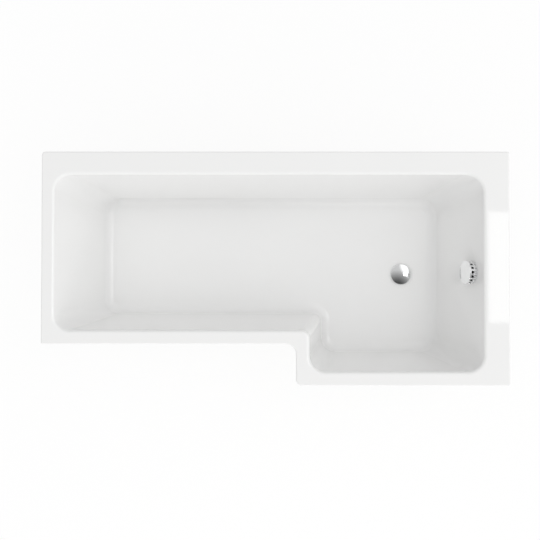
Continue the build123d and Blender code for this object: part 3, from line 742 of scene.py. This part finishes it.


# Overflow grille: plated outside, and painted shade inside its wall, where the recess behind the knob takes
# the dark plastic finish

grilleLook = {"inner": 0.0383, "wall": 0.0005}


def makeGrille(look):
    bm = bmesh.new()
    bm.from_mesh(frame["nodes"]["overflow_grille"].data)
    bmesh.ops.remove_doubles(bm, verts=bm.verts, dist=mergeGap)
    toWall = overflowFrame.inverted()
    for face in bm.faces:
        place = toWall @ face.calc_center_median()
        # Faces in the recess inside the grille's wall: these are painted dark, as shade
        shadedRecess = place.xy.length < look["inner"] and place.z > look["wall"]
        face.material_index = 1 if shadedRecess else 0
    piece = finishPiece("overflowGrille", bm, chrome, "chrome_plate", "bath", "overflow_grille")
    # The dark second finish is painted shade in the recess, not a part of its own
    piece.data.materials.append(blackPlastic)


makeGrille(grilleLook)
print("overflow grille made")


# Overflow hose, from the waste's side port up the back of the wall

hoseShape = {
    "port": 0.064,  # from the waste's axis to the hose's end
    "portDrop": 0.039,  # below the recess
    "plane": -0.037,  # behind the tub's wall at the overflow
    "spigot": 0.058,
    "reach": 0.0616,  # from the bend's corner to the bend's end
    "crest": 0.017,
    "valley": 0.0145,
    "bore": 0.012,
    "pitch": 0.006,
    "cuff": 0.034,
    "segments": 40,
}
# One rib, from crest to crest: share of its pitch, and of its height
ribLine = (
    (0.0, 1.0),
    (0.07, 0.87),
    (0.18, 0.12),
    (0.27, 0.0),
    (0.44, 0.0),
    (0.53, 0.12),
    (0.64, 0.87),
    (0.71, 1.0),
)


def makeHose(look):
    cap = nodeMiddle("plug_cap")
    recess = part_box("waste_flange_seal")[0][2]
    start = Vector((cap.x + look["port"], cap.y, recess - look["portDrop"]))
    end = overflowFrame @ Vector((0.0, look["spigot"], look["plane"]))
    up = -downWall
    corner = end - up * ((end.z - start.z) / up.z)
    controls = [start, corner, corner + up * 2 * look["reach"], end]
    points = splinePoints("hoseLine", controls, splineFineness)
    length = lineLength(points)
    ribs = round((length - 2 * look["cuff"]) / look["pitch"])
    pitch = (length - 2 * look["cuff"]) / ribs
    rings = [(0.0, look["crest"])]
    for rib in range(ribs):
        for share, height in ribLine:
            radius = look["valley"] + (look["crest"] - look["valley"]) * height
            rings.append((look["cuff"] + (rib + share) * pitch, radius))
    rings.append((length - look["cuff"], look["crest"]))
    rings.append((length, look["crest"]))
    bm = tubeMesh(points, acrossWall, rings, look["bore"], look["segments"])
    finishPiece("overflowHose", bm, hosePlastic, "hose_plastic", "bath", "overflow_hose", sharp=60.0)
    print("hose length", round(length, 4))


# Pull cable, from the overflow's gland to the crank's box beside the waste

cableShape = {
    "radius": 0.0025,
    "bore": 0.0011,
    "offset": 0.043,  # from the hose, along Y
    "drum": -0.031,  # the drum's plane, behind the wall
    "drumRadius": 0.00861,
    "gland": 0.030,  # from the drum to the sheath's end, along the cable
    "waste": 0.0003,  # the far end, from the waste's axis
    "wasteDrop": 0.05825,  # below the recess
    "reach": 0.0733,  # from the lower bend's corner to the bend's end
    "ferrule": 0.0034,
    "ferruleLength": 0.009,
    "rings": 120,
    "segments": 20,
}


def makeCable(look):
    cap = nodeMiddle("plug_cap")
    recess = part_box("waste_flange_seal")[0][2]
    # The cable leaves the drum at 45 degrees
    half = sqrt(0.5)
    across = (look["drumRadius"] + look["gland"]) * half
    down = (look["gland"] - look["drumRadius"]) * half
    start = overflowFrame @ Vector((across, down, look["drum"]))
    run = look["offset"] - across
    top = overflowFrame @ Vector((look["offset"], down + run, look["drum"]))
    end = Vector((cap.x + look["waste"], cap.y + look["offset"], recess - look["wasteDrop"]))
    low = top + downWall * ((top.z - end.z) / -downWall.z)
    controls = [start, top, low - downWall * 2 * look["reach"], low, end]
    points = splinePoints("cableLine", controls, splineFineness)
    length = lineLength(points)
    cover = look["ferruleLength"]
    rings = [(0.0, look["ferrule"]), (cover, look["ferrule"]), (cover, look["radius"])]
    bare = length - 2 * cover
    rings += [(cover + bare * ring / look["rings"], look["radius"]) for ring in range(1, look["rings"])]
    rings += [(length - cover, look["radius"]), (length - cover, look["ferrule"]), (length, look["ferrule"])]
    bm = tubeMesh(points, acrossWall, rings, look["bore"], look["segments"])
    finishPiece("pullCable", bm, blackPlastic, "cable_sheath", "bath", "pull_cable")
    print("cable length", round(length, 4))


makeHose(hoseShape)
makeCable(cableShape)


# Threaded feet

studLook = {
    "radius": 0.005,
    "depth": 0.00092,
    "pitch": 0.0015,
    "land": 0.12,  # flat share of the crest and of the root
    "crest": 0.5,  # where the crest starts, as a share of the pitch
    "segments": 14,
}


# One threaded rod between two heights, about the Z axis: cut from a longer one
def threadedMesh(look, low, high):
    pitch, land = look["pitch"], look["land"]
    root = look["radius"] - look["depth"]
    crest = look["crest"]
    outline = [(root, 0.0), (root, land), (look["radius"], crest)]
    outline += [(look["radius"], crest + land), (root, 1.0)]
    bm = bmesh.new()
    corners = [bm.verts.new((radius, 0.0, low + (share - 1.5) * pitch)) for radius, share in outline]
    sides = [bm.edges.new(pair) for pair in zip(corners, corners[1:])]
    turns = int((high - low) / pitch) + 3
    bmesh.ops.spin(
        bm,
        geom=corners + sides,
        axis=(0.0, 0.0, 1.0),
        cent=(0.0, 0.0, 0.0),
        dvec=(0.0, 0.0, pitch / look["segments"]),
        angle=tau * turns,
        steps=turns * look["segments"],
        use_merge=False,
        use_duplicate=False,
    )
    bmesh.ops.remove_doubles(bm, verts=bm.verts, dist=mergeGap)
    for height, way in ((low, -1.0), (high, 1.0)):
        bmesh.ops.bisect_plane(
            bm,
            geom=bm.verts[:] + bm.edges[:] + bm.faces[:],
            dist=1e-7,
            plane_co=(0.0, 0.0, height),
            plane_no=(0.0, 0.0, way),
            clear_outer=True,
        )
    bmesh.ops.holes_fill(bm, edges=[edge for edge in bm.edges if edge.is_boundary], sides=0)
    return bm


def makeStuds(look):
    nodes = [node for node in frame["nodes"] if node.startswith("foot_stud_")]
    low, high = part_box(nodes[0])
    thread = threadedMesh(look, low[2], high[2])
    for node in nodes:
        middle = nodeMiddle(node)
        bm = thread.copy()
        bmesh.ops.translate(bm, verts=bm.verts, vec=(middle.x, middle.y, 0.0))
        spot = node.removeprefix("foot_stud_")
        finishPiece("threadedStud_" + spot, bm, zinc, "zinc_steel", "foot_" + spot, node, sharp=25.0)
    thread.free()


makeStuds(studLook)
print("threaded feet made")


# Studio

studio = {
    "floorColour": (1.0, 1.0, 1.0),
    "floorRoughness": 0.7,
    "floorSize": 12.0,  # from its middle to its side
    "floorGlow": 0.9,  # share of the floor that is plain white to the camera and in gloss
    # The sky: its brighter side, the range from the dark side to that, and a patch overhead
    "sky": {
        "aim": (0.62, -0.60, 0.50),
        "edge": (-1.0, 1.0),
        "range": (0.24, 1.10),
        "patch": (0.0, 0.0, 1.0),
        "patchEdge": (0.80, 1.0),
        "patchGlow": 0.40,
    },
    # What gloss and metal show of it
    "gleam": {
        "aim": (-0.10, -0.62, 0.78),
        "edge": (0.60, 1.0),
        "range": (0.62, 0.02),
        "patch": (0.62, 0.42, 0.66),
        "patchEdge": (0.78, 0.88),
        "patchGlow": 0.60,
    },
}


# A pale floor that keeps the shadow, and that is clear from beneath
def makeFloor(look):
    bm = bmesh.new()
    bmesh.ops.create_grid(bm, x_segments=1, y_segments=1, size=look["floorSize"])
    mesh = bpy.data.meshes.new("studioFloor")
    bm.to_mesh(mesh)
    bm.free()
    floor = bpy.data.objects.new("studioFloor", mesh)
    scene.collection.objects.link(floor)
    material, tree, shader, _ = startMaterial("paleFloor", look["floorRoughness"])
    shader.inputs["Base Color"].default_value = (*look["floorColour"], 1.0)
    glow = addNode(tree, "ShaderNodeEmission", {"Color": white, "Strength": 1.0})
    ray = addNode(tree, "ShaderNodeLightPath")
    most = addNode(tree, "ShaderNodeMath", operation="MAXIMUM")
    tree.links.new(ray.outputs["Is Camera Ray"], most.inputs[0])
    tree.links.new(ray.outputs["Is Glossy Ray"], most.inputs[1])
    share = addNode(tree, "ShaderNodeMath", {1: look["floorGlow"]}, operation="MULTIPLY")
    tree.links.new(most.outputs[0], share.inputs[0])
    mix = addNode(tree, "ShaderNodeMixShader")
    tree.links.new(share.outputs[0], mix.inputs["Fac"])
    tree.links.new(shader.outputs[0], mix.inputs[1])
    tree.links.new(glow.outputs[0], mix.inputs[2])
    clear = addNode(tree, "ShaderNodeBsdfTransparent")
    under = addNode(tree, "ShaderNodeNewGeometry")
    seen = addNode(tree, "ShaderNodeMixShader")
    tree.links.new(under.outputs["Backfacing"], seen.inputs["Fac"])
    tree.links.new(mix.outputs[0], seen.inputs[1])
    tree.links.new(clear.outputs[0], seen.inputs[2])
    tree.links.new(seen.outputs[0], tree.nodes["Material Output"].inputs["Surface"])
    mesh.materials.append(material)


# Light from a sky that is brighter to one side, with a brighter patch towards another
def addSkyLight(tree, look):
    way = addNode(tree, "ShaderNodeTexCoord").outputs["Generated"]
    parts = []
    for aim, low, high, span in (
        (look["aim"], *look["edge"], look["range"]),
        (look["patch"], *look["patchEdge"], (0.0, look["patchGlow"])),
    ):
        lean = addNode(tree, "ShaderNodeVectorMath", {1: aim}, operation="DOT_PRODUCT")
        tree.links.new(way, lean.inputs[0])
        parts.append(addMap(tree, lean.outputs["Value"], low, high, *span))
    both = addNode(tree, "ShaderNodeMath", operation="ADD")
    tree.links.new(parts[0], both.inputs[0])
    tree.links.new(parts[1], both.inputs[1])
    light = addNode(tree, "ShaderNodeBackground", {"Color": white})
    tree.links.new(both.outputs[0], light.inputs["Strength"])
    return light.outputs[0]


# Plain white to the camera, one light for gloss and metal, and another for all the rest
def makeSky(look):
    world = bpy.data.worlds.new("studioSky")
    scene.world = world
    world.use_nodes = True
    tree = world.node_tree
    ray = addNode(tree, "ShaderNodeLightPath")
    plain = tree.nodes["Background"]
    plain.inputs["Color"].default_value = white
    shown = addSkyLight(tree, look["sky"])
    gleam = addSkyLight(tree, look["gleam"])
    for kind, light in (("Is Glossy Ray", gleam), ("Is Camera Ray", plain.outputs[0])):
        mix = addNode(tree, "ShaderNodeMixShader")
        tree.links.new(ray.outputs[kind], mix.inputs["Fac"])
        tree.links.new(shown, mix.inputs[1])
        tree.links.new(light, mix.inputs[2])
        shown = mix.outputs[0]
    tree.links.new(shown, tree.nodes["World Output"].inputs["Surface"])


softboxes = {
    "rightBox": {"place": (2.1, 0.12, 4.5), "size": (1.12, 0.80), "glow": 3.0},
    "frontStrip": {"place": (-0.1, -3.8, 2.9), "size": (3.4, 0.5), "glow": 5.0},
}


# A flat lamp that faces down, hidden from the camera, its face as bright as its glow says
def makeSoftbox(name, look):
    data = bpy.data.lights.new(name, "AREA")
    data.shape = "RECTANGLE"
    data.size, data.size_y = look["size"]
    data.energy = look["glow"] * pi * data.size * data.size_y
    lamp = bpy.data.objects.new(name, data)
    scene.collection.objects.link(lamp)
    lamp.location = look["place"]
    lamp.visible_camera = False


makeFloor(studio)
makeSky(studio)
for name, look in softboxes.items():
    makeSoftbox(name, look)
print("studio made")
